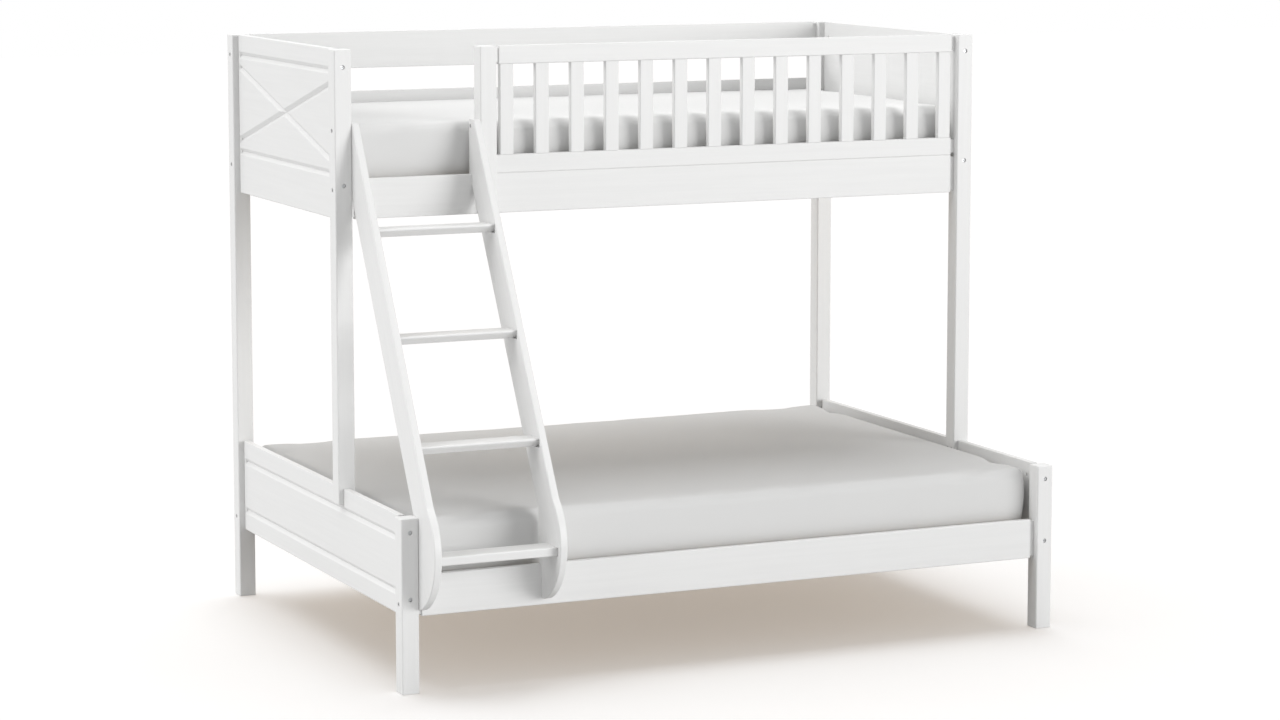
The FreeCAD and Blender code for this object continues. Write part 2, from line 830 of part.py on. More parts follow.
def frame_pieces(bores):
    """Posts, panels, rails and boards, drilled for their fittings."""
    ends = {
        "back_%s_post": back_post(),
        "upper_front_%s_post": upper_front_post(),
        "lower_front_%s_leg": front_leg(),
        "lower_%s_end_panel": lower_end_panel(),
        "upper_%s_end_panel": upper_end_panel(),
    }
    pieces = {name % "left": shape for name, shape in ends.items()}
    pieces.update({name % "right": mirrored(shape) for name, shape in ends.items()})
    pieces["ladder_entry_post"] = entry_post()
    pieces["lower_front_rail"] = rail(lower_depth - board_inner, lower_rail_bottom, rail_height)
    pieces["lower_back_rail"] = rail(board_recess, lower_rail_bottom, rail_height)
    pieces["upper_front_rail"] = rail(upper_depth - board_inner, upper_rail_bottom, rail_height)
    pieces["upper_back_rail"] = rail(board_recess, upper_rail_bottom, rail_height)
    pieces["back_guard_middle_board"] = rail(board_recess, middle_board_bottom, back_board_height)
    pieces["back_guard_top_board"] = rail(board_recess, top_board_bottom, back_board_height)
    pieces["guard_top_rail"] = guard_top_rail()
    pieces["guard_bottom_rail"] = guard_bottom_rail()
    pieces["ladder_left_stringer"], pieces["ladder_right_stringer"] = ladder_sides()
    return {name: drilled(piece, bores) for name, piece in pieces.items()}


def guard_pieces():
    """The balusters, numbered from the ladder."""
    lefts = baluster_lefts()
    return {"guard_baluster_%02d" % (index + 1): baluster(left) for index, left in enumerate(lefts)}


def ladder_steps():
    """The steps, numbered from the floor."""
    return {"ladder_step_%d" % (index + 1): step(top) for index, top in enumerate(step_tops())}


def base_pieces():
    """Slats, their ledgers, straps and the lower centre beam."""
    hanger = beam_hanger()
    return {
        "upper_front_ledger": ledger(upper_depth - board_inner - ledger_width, upper_slat_top),
        "upper_back_ledger": ledger(board_inner, upper_slat_top),
        "lower_front_ledger": ledger(lower_depth - board_inner - ledger_width, lower_slat_top),
        "lower_back_ledger": ledger(board_inner, lower_slat_top),
        "upper_slats": slats(upper_depth, upper_slat_top),
        "lower_slats": slats(lower_depth, lower_slat_top),
        "upper_slat_straps": slat_straps(upper_depth, upper_slat_top),
        "lower_slat_straps": slat_straps(lower_depth, lower_slat_top),
        "lower_centre_beam": centre_beam(),
        "centre_beam_hangers": Part.makeCompound([hanger, mirrored(hanger)]),
    }


def fittings():
    """Bolts, nuts, wooden dowels and screws, each kind as one group of solids."""
    bolted = panel_bolt_sites() + rail_bolt_sites()
    groups = {
        "frame_bolts": [bolt(site[0], site[1], bolt_reach()) for site in bolted],
        "frame_square_nuts": [square_nut(*site) for site in bolted],
        "frame_dowels": [rod(*site, dowel_length, dowel_diameter) for site in dowel_sites()],
        "ladder_bolts": [bolt(*site) for site in ladder_bolt_sites()],
        "post_foot_screws": [screw(*site, foot_screw_length()) for site in foot_screw_sites()],
        "ladder_foot_screws": [screw(*site, ladder_foot_screw_length()) for site in ladder_foot_screw_sites()],
    }
    return {name: Part.makeCompound(solids) for name, solids in groups.items()}


def main():
    pieces = frame_pieces(all_bores())
    pieces.update(guard_pieces())
    pieces.update(ladder_steps())
    pieces.update(base_pieces())
    pieces.update(fittings())
    pieces["upper_mattress"] = upper_mattress()
    pieces["lower_mattress"] = lower_mattress()
    os.makedirs("parts", exist_ok=True)
    for name, shape in pieces.items():
        shape.exportStep("parts/" + name + ".step")
    print(len(pieces), "sub-parts written")


main()
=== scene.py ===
import math

import bmesh
import bpy
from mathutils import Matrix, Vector


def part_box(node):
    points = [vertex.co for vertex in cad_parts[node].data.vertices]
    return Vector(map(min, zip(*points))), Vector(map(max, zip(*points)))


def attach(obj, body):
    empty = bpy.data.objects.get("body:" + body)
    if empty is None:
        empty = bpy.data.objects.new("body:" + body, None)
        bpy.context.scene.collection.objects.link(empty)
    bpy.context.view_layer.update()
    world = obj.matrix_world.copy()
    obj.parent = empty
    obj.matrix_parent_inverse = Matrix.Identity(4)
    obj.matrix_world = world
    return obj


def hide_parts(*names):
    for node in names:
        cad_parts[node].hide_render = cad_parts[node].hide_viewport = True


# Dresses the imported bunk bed: white lacquer, bare timber, steel fittings and two soft mattresses.
# Lengths are in metres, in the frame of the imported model.

bl_info = {
    "name": "Bunk Bed Dressing",
    "version": (1, 0, 0),
    "blender": (4, 5, 0),
    "location": "3D View > Sidebar > Bunk Bed",
    "description": "Finishes, fittings, slats and mattresses of a white bunk bed",
    "category": "Object",
}

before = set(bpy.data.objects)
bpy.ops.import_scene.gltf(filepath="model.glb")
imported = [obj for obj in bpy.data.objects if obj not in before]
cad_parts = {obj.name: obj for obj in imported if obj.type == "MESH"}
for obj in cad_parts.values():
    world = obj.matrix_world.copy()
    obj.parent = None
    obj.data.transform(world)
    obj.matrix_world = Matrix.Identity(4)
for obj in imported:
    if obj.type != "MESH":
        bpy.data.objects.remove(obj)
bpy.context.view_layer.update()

# Nodes by the way their grain runs. The stringers' grain follows the ladder's slope.
UPRIGHT = ["back_left_post", "back_right_post", "upper_front_left_post", "upper_front_right_post",
           "lower_front_left_leg", "lower_front_right_leg", "ladder_entry_post"]
BALUSTERS = sorted(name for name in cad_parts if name.startswith("guard_baluster_"))
LENGTHWISE = ["lower_front_rail", "lower_back_rail", "upper_front_rail", "upper_back_rail",
              "back_guard_middle_board", "back_guard_top_board", "guard_top_rail", "guard_bottom_rail"]
STEPS = sorted(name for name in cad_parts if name.startswith("ladder_step_"))
CROSSWISE = ["lower_left_end_panel", "lower_right_end_panel",
             "upper_left_end_panel", "upper_right_end_panel"]
STRINGERS = ["ladder_left_stringer", "ladder_right_stringer"]
LEDGERS = ["upper_front_ledger", "upper_back_ledger", "lower_front_ledger", "lower_back_ledger"]
TIMBER = LEDGERS + ["lower_centre_beam"]
STRAPS = ["upper_slat_straps", "lower_slat_straps"]
STEEL = ["frame_square_nuts", "centre_beam_hangers"]


# Shader trees

WHITE, BLACK = (1.0, 1.0, 1.0), (0.0, 0.0, 0.0)
COLOUR_FIRST, COLOUR_SECOND, COLOUR_OUT = 6, 7, 2  # the Mix node's sockets for colours
BEVEL_SAMPLES = 6


class Wire:
    """The output of a shader node, on which Python's operators add Math nodes."""

    def __init__(self, finish, socket):
        self.finish = finish
        self.socket = socket

    def math(self, operation, first, second):
        return self.finish.node("ShaderNodeMath", {"operation": operation}, {0: first, 1: second})

    def __add__(self, other):
        return self.math("ADD", self, other)

    def __radd__(self, other):
        return self.math("ADD", other, self)

    def __mul__(self, other):
        return self.math("MULTIPLY", self, other)

    def __rmul__(self, other):
        return self.math("MULTIPLY", other, self)

    def either(self, other):
        """1 where one of two masks is 1."""
        return self.math("MAXIMUM", self, other)


class Finish:
    """The shader tree of a material or of the world."""

    def __init__(self, owner):
        owner.use_nodes = True
        self.owner = owner
        self.tree = owner.node_tree
        self.tree.nodes.clear()

    def node(self, kind, settings=None, sockets=None, output=0):
        """Adds a node: its settings first, then the values or links of its sockets."""
        made = self.tree.nodes.new(kind)
        for key, value in (settings or {}).items():
            if key == "stops":
                self.set_stops(made.color_ramp, value)
            else:
                setattr(made, key, value)
        for key, value in (sockets or {}).items():
            if isinstance(value, Wire):
                self.tree.links.new(value.socket, made.inputs[key])
            else:
                made.inputs[key].default_value = value
        return Wire(self, made.outputs[output]) if made.outputs else None

    def set_stops(self, ramp, stops):
        while len(ramp.elements) < len(stops):
            ramp.elements.new(1.0)
        for element, (position, colour) in zip(ramp.elements, stops):
            element.position = position
            element.color = (*colour, 1.0)

    def place(self, scale=(1, 1, 1), turn=(0, 0, 0)):
        """Object coordinates, turned and scaled."""
        spot = self.node("ShaderNodeTexCoord", output="Object")
        turned = self.node("ShaderNodeMapping", {"vector_type": "POINT"}, {"Vector": spot, "Rotation": turn})
        return self.node("ShaderNodeMapping", {"vector_type": "POINT"}, {"Vector": turned, "Scale": scale})

    def noise(self, spot, scale, detail=4.0, rough=0.55):
        """A soft random pattern from 0 to 1."""
        sockets = {"Vector": spot, "Scale": scale, "Detail": detail, "Roughness": rough}
        return self.node("ShaderNodeTexNoise", None, sockets, "Fac")

    def mix(self, factor, first, second):
        """A colour between two colours."""
        sockets = {"Factor": factor, COLOUR_FIRST: first, COLOUR_SECOND: second}
        return self.node("ShaderNodeMix", {"data_type": "RGBA"}, sockets, COLOUR_OUT)

    def ramp(self, factor, *stops):
        """Colours that change with a factor, from stops of (position, colour)."""
        return self.node("ShaderNodeValToRGB", {"stops": stops}, {"Fac": factor}, "Color")

    def waves(self, spot, direction, **sockets):
        """Even bands across a direction."""
        sockets["Vector"] = spot
        return self.node("ShaderNodeTexWave", {"bands_direction": direction}, sockets, "Fac")

    def bump(self, height, strength, distance, rounding=0.0):
        """A normal from a height, on edges that are softened by a radius."""
        sockets = {"Height": height, "Strength": strength, "Distance": distance}
        if rounding:
            soft_edges = self.node("ShaderNodeBevel", {"samples": BEVEL_SAMPLES}, {"Radius": rounding})
            sockets["Normal"] = soft_edges
        return self.node("ShaderNodeBump", None, sockets)

    def surface(self, **sockets):
        """Ends the tree in a Principled shader; a socket's name has underscores for its spaces."""
        named = {key.replace("_", " "): value for key, value in sockets.items()}
        shader = self.node("ShaderNodeBsdfPrincipled", None, named)
        self.node("ShaderNodeOutputMaterial", None, {"Surface": shader})
        return self.owner


def opaque(colour):
    """A colour with full alpha."""
    return (*colour, 1.0)


def dimmed(colour, *shares):
    """A colour times one share, or times one share for each channel."""
    return tuple(channel * shares[index % len(shares)] for index, channel in enumerate(colour))


def stretched(grain_axis, along, across):
    """Scales that draw a pattern out along the grain."""
    scale = [across, across, across]
    scale["XYZ".index(grain_axis)] = along
    return tuple(scale)


def lacquer(name, grain_axis, turn=(0, 0, 0)):
    """Satin white lacquer, through which the grain just shows."""
    size = bpy.context.scene.bunk_finish
    finish = Finish(bpy.data.materials.new(name))
    spot = finish.place(stretched(grain_axis, along=0.9, across=26.0), turn)
    streaks = finish.noise(spot, scale=3.0, detail=7.0, rough=0.62)
    pores = finish.noise(spot, scale=16.0, detail=5.0, rough=0.7)
    cloud = finish.noise(finish.place(), scale=2.3, detail=2.0)
    peel = finish.noise(finish.place(), scale=420.0, detail=2.0)
    shade = finish.ramp(streaks * 0.8 + cloud * 0.2, (0.36, WHITE), (0.66, BLACK))
    deep = dimmed(size.lacquer_colour, 0.968)
    colour = finish.mix(shade, opaque(deep), opaque(size.lacquer_colour))
    height = streaks * 0.5 + pores * 0.35 + peel * 0.15
    return finish.surface(
        Base_Color=colour,
        Roughness=0.30 + pores * 0.14 + cloud * 0.05,
        Normal=finish.bump(height, strength=0.16, distance=0.0006, rounding=size.edge_rounding),
        Specular_IOR_Level=0.42,
        Coat_Weight=0.12,
        Coat_Roughness=0.22,
    )


def pine(name, grain_axis):
    """Planed bare pine, with its rings as long stripes and a few small knots."""
    size = bpy.context.scene.bunk_finish
    finish = Finish(bpy.data.materials.new(name))
    spot = finish.place(stretched(grain_axis, along=0.55, across=14.0))
    bend = finish.noise(spot, scale=1.4, detail=3.0)
    rings = finish.waves(spot, "DIAGONAL", Scale=2.1, Distortion=5.0, Detail=3.0)
    fibre_spot = finish.place(stretched(grain_axis, along=3.0, across=160.0))
    fibre = finish.noise(fibre_spot, scale=3.0, detail=5.0, rough=0.7)
    knot_spot = finish.place(stretched(grain_axis, along=1.6, across=5.0))
    knots = finish.node("ShaderNodeTexVoronoi", {"feature": "F1"},
                        {"Vector": knot_spot, "Scale": 1.3}, "Distance")
    knot = finish.ramp(knots, (0.03, WHITE), (0.09, BLACK))
    dark = dimmed(size.pine_colour, 0.84, 0.74, 0.62)
    stripes = rings * 0.55 + bend * 0.3 + fibre * 0.15
    striped = finish.mix(stripes, opaque(size.pine_colour), opaque(dark))
    colour = finish.mix(knot, striped, opaque(dimmed(dark, 0.42)))
    height = fibre * 0.7 + rings * 0.3
    return finish.surface(
        Base_Color=colour,
        Roughness=0.52 + fibre * 0.22,
        Normal=finish.bump(height, strength=0.3, distance=0.0008, rounding=size.edge_rounding),
        Specular_IOR_Level=0.35,
    )


def cover_cloth(name):
    """A smooth woven cover: fine warp and weft, soft slubs and a faint unevenness."""
    size = bpy.context.scene.bunk_mattress
    finish = Finish(bpy.data.materials.new(name))
    cover = finish.node("ShaderNodeUVMap", {"uv_map": "cover"}, None, "UV")
    threads = 0.5 / size.thread_pitch
    warp = finish.waves(cover, "X", Scale=threads, Distortion=0.4)
    weft = finish.waves(cover, "Y", Scale=threads, Distortion=0.4)
    slub = finish.noise(finish.place((60.0, 60.0, 60.0)), scale=6.0, detail=3.0, rough=0.7)
    soft = finish.noise(finish.place(), scale=5.0, detail=3.0, rough=0.5)
    weave = warp * weft
    dim = dimmed(size.cover_colour, 0.955)
    colour = finish.mix(weave * 0.35 + slub * 0.35 + soft * 0.3, opaque(dim), opaque(size.cover_colour))
    return finish.surface(
        Base_Color=colour,
        Roughness=0.82 + slub * 0.1,
        Normal=finish.bump(weave * 0.5 + slub * 0.5, strength=0.22, distance=0.0005),
        Specular_IOR_Level=0.2,
        Sheen_Weight=0.12,
        Sheen_Roughness=0.45,
    )


def tape_cloth(name):
    """Pale woven tape with fine diagonals."""
    size = bpy.context.scene.bunk_finish
    finish = Finish(bpy.data.materials.new(name))
    spot = finish.place()
    twill = finish.waves(spot, "DIAGONAL", Scale=190.0)
    cross = finish.waves(spot, "X", Scale=260.0)
    fuzz = finish.noise(spot, scale=900.0, detail=2.0)
    colour = finish.mix(twill * 0.6 + fuzz * 0.4, opaque(size.tape_shade), opaque(size.tape_colour))
    return finish.surface(
        Base_Color=colour,
        Roughness=0.8 + fuzz * 0.1,
        Normal=finish.bump(twill * 0.6 + cross * 0.4, strength=0.4, distance=0.0005),
        Specular_IOR_Level=0.2,
    )


def zinc(name, grain_axis):
    """Bright zinc plating over drawn steel, with a faint cloudiness."""
    size = bpy.context.scene.bunk_finish
    finish = Finish(bpy.data.materials.new(name))
    drawn = finish.noise(finish.place(stretched(grain_axis, along=8.0, across=700.0)), scale=1.0, detail=4.0)
    cloud = finish.noise(finish.place(), scale=70.0, detail=3.0)
    colour = finish.mix(cloud, opaque(dimmed(size.steel_colour, 0.78)), opaque(size.steel_colour))
    return finish.surface(
        Base_Color=colour,
        Metallic=1.0,
        Roughness=0.24 + drawn * 0.16 + cloud * 0.08,
        Normal=finish.bump(drawn, strength=0.2, distance=0.0002),
    )


def beech(name):
    """Pressed beech dowel: pale pink-brown with short dark flecks."""
    size = bpy.context.scene.bunk_finish
    finish = Finish(bpy.data.materials.new(name))
    flecks = finish.noise(finish.place((12.0, 260.0, 260.0)), scale=3.0, detail=4.0, rough=0.7)
    return finish.surface(
        Base_Color=finish.mix(flecks, opaque(size.beech_colour), opaque(size.beech_flecks)),
        Roughness=0.55 + flecks * 0.2,
        Normal=finish.bump(flecks, strength=0.3, distance=0.0005),
    )


def dress(names, material):
    """Gives CAD nodes one material."""
    for name in names:
        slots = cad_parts[name].data.materials
        slots.clear()
        slots.append(material)


# Meshes and Geometry Nodes

MERGE_DISTANCE = 1e-6
END_DEPTH = 1e-4  # how near to an end a point of a fastener counts as part of it
SMOOTH_ANGLE = math.radians(35)
FASTENER_SIDES = 24
SLAT_EDGE_POINTS = 4


def new_piece(name, mesh):
    """A mesh object at the origin."""
    piece = bpy.data.objects.new(name, mesh)
    bpy.context.scene.collection.objects.link(piece)
    return piece


def loose_solids(node):
    """The points of each loose solid of a CAD node, read from a merged copy."""
    solids = bmesh.new()
    solids.from_mesh(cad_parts[node].data)
    bmesh.ops.remove_doubles(solids, verts=solids.verts, dist=MERGE_DISTANCE)
    seen, found = set(), []
    for first in solids.verts:
        if first in seen:
            continue
        group, waiting = [], [first]
        seen.add(first)
        while waiting:
            corner = waiting.pop()
            group.append(corner.co.copy())
            for edge in corner.link_edges:
                other = edge.other_vert(corner)
                if other not in seen:
                    seen.add(other)
                    waiting.append(other)
        found.append(group)
    solids.free()
    return found


def head_and_axis(points):
    """Middle of a fastener's outer head face, the direction that its shank runs in, and its length."""
    low = Vector([min(p[i] for p in points) for i in range(3)])
    high = Vector([max(p[i] for p in points) for i in range(3)])
    size = high - low
    long_way = max(range(3), key=lambda i: size[i])
    wide_way = (long_way + 1) % 3
    near = [p for p in points if p[long_way] < low[long_way] + END_DEPTH]
    far = [p for p in points if p[long_way] > high[long_way] - END_DEPTH]
    spread = [max(p[wide_way] for p in end) - min(p[wide_way] for p in end) for end in (near, far)]
    head = (low + high) / 2
    direction = Vector((0, 0, 0))
    at_low = spread[0] > spread[1]
    head[long_way] = low[long_way] if at_low else high[long_way]
    direction[long_way] = 1 if at_low else -1
    return head, direction, size[long_way]


def ring(mesh, radius, height, sides, flats=0):
    """A ring of points at a height; with flats it follows a polygon of that many sides."""
    made = []
    for index in range(sides):
        angle = 2 * math.pi * index / sides
        reach = radius
        if flats:
            wedge = 2 * math.pi / flats
            reach = radius / math.cos((angle % wedge) - wedge / 2)
        made.append(mesh.verts.new((reach * math.cos(angle), reach * math.sin(angle), height)))
    return made


def turned_fastener(name, profile):
    """A closed fastener along +Z from rings of (radius, height, flats)."""
    mesh = bmesh.new()
    rings = [ring(mesh, radius, height, FASTENER_SIDES, flats) for radius, height, flats in profile]
    for first, second in zip(rings, rings[1:]):
        for index in range(FASTENER_SIDES):
            after = (index + 1) % FASTENER_SIDES
            mesh.faces.new((first[index], first[after], second[after], second[index]))
    mesh.faces.new(list(reversed(rings[0])))
    mesh.faces.new(rings[-1])
    bmesh.ops.recalc_face_normals(mesh, faces=mesh.faces)
    data = bpy.data.meshes.new(name)
    mesh.to_mesh(data)
    mesh.free()
    return new_piece(name, data)


class Tree:
    """A Geometry Nodes tree with named inputs."""

    def __init__(self, name):
        self.group = bpy.data.node_groups.new(name, "GeometryNodeTree")
        self.group.interface.new_socket("Geometry", in_out="INPUT", socket_type="NodeSocketGeometry")
        self.group.interface.new_socket("Geometry", in_out="OUTPUT", socket_type="NodeSocketGeometry")
        self.start = self.group.nodes.new("NodeGroupInput")
        self.end = self.group.nodes.new("NodeGroupOutput")

    def input(self, name, kind, default=None):
        """A named input; its value is used wherever the returned output is linked."""
        socket = self.group.interface.new_socket(name, in_out="INPUT", socket_type=kind)
        if default is not None:
            socket.default_value = default
        return self.start.outputs[name]

    def node(self, kind, settings=None, sockets=None, output=0):
        """Adds a node: its settings first, then the values or links of its sockets."""
        made = self.group.nodes.new(kind)
        for key, value in (settings or {}).items():
            setattr(made, key, value)
        for key, value in (sockets or {}).items():
            if isinstance(value, bpy.types.NodeSocket):
                self.group.links.new(value, made.inputs[key])
            else:
                made.inputs[key].default_value = value
        return made.outputs[output]

    def finish(self, geometry, material):
        """Realises the instances and sets their material."""
        real = self.node("GeometryNodeRealizeInstances", None, {"Geometry": geometry})
        painted = self.node("GeometryNodeSetMaterial", None, {"Geometry": real, "Material": material})
        self.group.links.new(painted, self.end.inputs[0])


def grown(name, start_mesh, tree, values):
    """Runs a tree on a mesh and keeps the result as a plain mesh object."""
    carrier = new_piece(name + "_carrier", start_mesh)
    modifier = carrier.modifiers.new("grow", "NODES")
    modifier.node_group = tree.group
    for item in tree.group.interface.items_tree:
        if item.in_out == "INPUT" and item.name in values:
            modifier[item.identifier] = values[item.name]
    bpy.context.view_layer.update()
    graph = bpy.context.evaluated_depsgraph_get()
    evaluated = carrier.evaluated_get(graph)
    data = bpy.data.meshes.new_from_object(evaluated, preserve_all_data_layers=True, depsgraph=graph)
    data.name = name
    bpy.data.objects.remove(carrier)
    piece = new_piece(name, data)
    for polygon in data.polygons:
        polygon.use_smooth = True
    data.set_sharp_from_angle(angle=SMOOTH_ANGLE)
    return piece


def slat_tree():
    """A row of slats with rounded long edges, from a start point along X."""
    tree = Tree("slat_row")
    count = tree.input("Count", "NodeSocketInt", 14)
    start = tree.input("Start", "NodeSocketVector")
    pitch = tree.input("Pitch", "NodeSocketVector")
    width = tree.input("Slat Width", "NodeSocketFloat", 0.068)
    thickness = tree.input("Slat Thickness", "NodeSocketFloat", 0.018)
    span = tree.input("Span", "NodeSocketVector")
    rounding = tree.input("Edge Radius", "NodeSocketFloat", 0.003)
    material = tree.input("Finish", "NodeSocketMaterial")
    section = tree.node("GeometryNodeCurvePrimitiveQuadrilateral", {"mode": "RECTANGLE"},
                        {"Width": width, "Height": thickness})
    eased = tree.node("GeometryNodeFilletCurve", {"mode": "POLY"},
                      {"Curve": section, "Count": SLAT_EDGE_POINTS, "Radius": rounding,
                       "Limit Radius": True})
    path = tree.node("GeometryNodeCurvePrimitiveLine", {"mode": "POINTS"},
                     {"Start": (0.0, 0.0, 0.0), "End": span})
    slat = tree.node("GeometryNodeCurveToMesh", None,
                     {"Curve": path, "Profile Curve": eased, "Fill Caps": True})
    points = tree.node("GeometryNodeMeshLine", {"mode": "OFFSET"},
                       {"Count": count, "Start Location": start, "Offset": pitch})
    row = tree.node("GeometryNodeInstanceOnPoints", None, {"Points": points, "Instance": slat})
    tree.finish(row, material)
    return tree


def fastener_tree():
    """One fastener at each point, turned by the point's own rotation."""
    tree = Tree("fasteners")
    template = tree.input("Fastener", "NodeSocketObject")
    size = tree.input("Size", "NodeSocketFloat", 1.0)
    material = tree.input("Finish", "NodeSocketMaterial")
    shape = tree.node("GeometryNodeObjectInfo", None, {"Object": template}, "Geometry")
    turn = tree.node("GeometryNodeInputNamedAttribute", {"data_type": "FLOAT_VECTOR"}, {"Name": "turn"})
    row = tree.node("GeometryNodeInstanceOnPoints", None,
                    {"Points": tree.start.outputs[0], "Instance": shape, "Rotation": turn, "Scale": size})
    tree.finish(row, material)
    return tree


def fastener_sites(node):
    """Places and directions of a CAD node's fasteners, sorted by length."""
    by_reach = {}
    for points in loose_solids(node):
        head, direction, reach = head_and_axis(points)
        by_reach.setdefault(round(reach, 4), []).append((head, direction))
    return sorted(by_reach.items())


def place_fasteners(name, node, outline, material):
    """Grows a CAD node's fasteners, as one piece for each length, from the outline for that length."""
    for index, (reach, sites) in enumerate(fastener_sites(node)):
        template = turned_fastener(name + "_template", outline(reach))
        mesh = bpy.data.meshes.new(name + "_sites")
        mesh.from_pydata([head for head, _ in sites], [], [])
        turns = mesh.attributes.new("turn", "FLOAT_VECTOR", "POINT")
        for turn, (_, direction) in zip(turns.data, sites):
            turn.vector = direction.to_track_quat("Z", "Y").to_euler()
        part = "%s_%d" % (name, index + 1) if index else name
        piece = grown(part, mesh, fastener_tree(), {"Fastener": template, "Size": 1.0, "Finish": material})
        bpy.data.objects.remove(template)
        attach(piece, "frame")
        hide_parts(node)


def bolt_outline(reach):
    """Rings of a bolt, from the bottom of its hexagon socket round the head to its tip."""
    size = bpy.context.scene.bunk_fittings
    return [
        (size.socket_flats, size.socket_depth, 6),
        (size.socket_flats, 0.0, 6),
        (size.head_radius - size.head_chamfer, 0.0, 0),
        (size.head_radius, size.head_chamfer, 0),
        (size.head_radius, size.head_height, 0),
        (size.shank_radius, size.head_height, 0),
        (size.shank_radius, reach - size.head_chamfer, 0),
        (size.shank_radius - size.head_chamfer, reach, 0),
    ]


def screw_outline(reach):
    """Rings of a countersunk screw, from the bottom of its square recess round the head to its tip."""
    size = bpy.context.scene.bunk_fittings
    recess = size.screw_head_radius / 2
    return [
        (recess / 2, recess, 4),
        (recess, 0.0, 4),
        (size.screw_head_radius, 0.0, 0),
        (size.screw_radius, size.screw_head_radius - size.screw_radius, 0),
        (size.screw_radius, reach - 2 * size.screw_radius, 0),
        (size.screw_radius / 8, reach, 0),
    ]


# Sizes and colours

def colour_value(name, description, default):
    """A colour that a user can change."""
    return bpy.props.FloatVectorProperty(name=name, description=description, subtype="COLOR",
                                         min=0.0, max=1.0, default=default)


def length_value(name, description, default):
    """A length that a user can change."""
    return bpy.props.FloatProperty(name=name, description=description, default=default, min=0.0,
                                   unit="LENGTH")


def plain_value(name, description, default):
    """A number without a unit."""
    return bpy.props.FloatProperty(name=name, description=description, default=default)


class BunkFinish(bpy.types.PropertyGroup):
    """Colours of the hard pieces."""

    lacquer_colour: colour_value("Lacquer", "Colour of the white lacquer", (0.77, 0.77, 0.765))
    pine_colour: colour_value("Pine", "Colour of the bare slats and battens", (0.82, 0.68, 0.48))
    steel_colour: colour_value("Steel", "Colour of the zinc-plated fittings", (0.62, 0.63, 0.64))
    beech_colour: colour_value("Beech", "Colour of the wooden dowels", (0.78, 0.60, 0.42))
    beech_flecks: colour_value("Beech Flecks", "Colour of the flecks in the dowels", (0.52, 0.36, 0.22))
    tape_colour: colour_value("Tape", "Colour of the raised threads of the straps", (0.8, 0.8, 0.78))
    tape_shade: colour_value("Tape Shade", "Colour between the threads of the straps", (0.62, 0.62, 0.6))
    edge_rounding: length_value("Edge Rounding", "Radius by which edges look softened", 0.0026)


class BunkFittings(bpy.types.PropertyGroup):
    """Sizes of the bolts and screws."""

    head_radius: length_value("Head Radius", "Radius of a bolt's round head", 0.006)
    head_height: length_value("Head Height", "Height of a bolt's round head", 0.006)
    head_chamfer: length_value("Head Chamfer", "Chamfer round a bolt's head", 0.0007)
    socket_flats: length_value("Socket", "Half the width of the hexagon socket across its flats", 0.002)
    socket_depth: length_value("Socket Depth", "Depth of the hexagon socket", 0.003)
    shank_radius: length_value("Shank Radius", "Radius of a bolt's shank", 0.003)
    screw_head_radius: length_value("Screw Head Radius", "Radius of a countersunk head", 0.0045)
    screw_radius: length_value("Screw Radius", "Radius of a screw's shank", 0.0025)


class BunkBase(bpy.types.PropertyGroup):
    """Sizes of the slatted bases."""

    count: bpy.props.IntProperty(name="Slats", description="Slats in each bunk", default=14, min=2)
    width: length_value("Slat Width", "Width of a slat", 0.068)
    rounding: length_value("Slat Rounding", "Radius of a slat's long edges", 0.0035)


class BunkMattress(bpy.types.PropertyGroup):
    """Shape and colour of the mattresses."""

    cover_colour: colour_value("Cover", "Colour of the mattress covers", (0.71, 0.71, 0.705))
    corner_radius: length_value("Corner Radius", "Radius of the upright corners", 0.030)
    edge_radius: length_value("Edge Radius", "Radius of the upper and lower edges", 0.030)
    crown: length_value("Crown", "Height of the crown in the middle", 0.008)
    grid: length_value("Grid", "Spacing of the mesh that is simulated", 0.026)
    side_tuck: length_value("Side Tuck", "How far the sides draw in above their middle", 0.004)
    foot_tuck: length_value("Foot Tuck", "How far the sides draw in below their middle", 0.014)
    side_swell: length_value("Side Swell", "Most that the sides may swell", 0.0015)
    top_swell: length_value("Top Swell", "Most that the top may swell", 0.006)
    pinned_height: length_value("Pinned Height", "Height up to which the cover stays in place", 0.004)
    thread_pitch: length_value("Thread Pitch", "Distance between threads of the cover", 0.0011)
    pressure: plain_value("Pressure", "Pressure of the filling", 4.0)
    frames: bpy.props.IntProperty(name="Frames", description="Steps of the simulation", default=20, min=1)


class BunkStage(bpy.types.PropertyGroup):
    """Camera and light."""

    camera_place: bpy.props.FloatVectorProperty(name="Camera", description="Where the camera stands",
                                                subtype="TRANSLATION", unit="LENGTH",
                                                default=(-4.438, -9.708, 2.339))
    camera_turn: bpy.props.FloatProperty(name="Turn", description="Direction of the view, clockwise from +Y",
                                         unit="ROTATION", default=math.radians(24.536))
    camera_dip: bpy.props.FloatProperty(name="Dip", description="Downward tilt of the view",
                                        unit="ROTATION", default=math.radians(7.252))
    lens: plain_value("Lens", "Focal length in millimetres", 98.68)
    shift: plain_value("Shift", "Vertical shift of the frame", -0.0469)
    sky: plain_value("Sky", "Strength of the even light", 0.42)
    key: plain_value("Key", "Strength of the light from the right front", 2.1)
    side: plain_value("Side", "Strength of the light from the left", 1.6)
    top: plain_value("Top", "Strength of the light from above", 1.6)
    floor_colour: colour_value("Floor Colour", "Colour of the floor", (0.76, 0.795, 0.83))
    floor_lift: plain_value("Floor Lift", "Light that the seen floor adds", 0.36)
    lift_colour: colour_value("Lift Colour", "Colour of the light that the floor adds", (1.0, 0.88, 0.77))
    floor_bounce: plain_value("Floor Bounce", "How much light the floor gives back", 0.90)
    floor_size: length_value("Floor", "Half the width of the floor", 30.0)
    floor_gap: length_value("Floor Gap", "How far the floor lies under the feet", 0.0005)


# Pieces

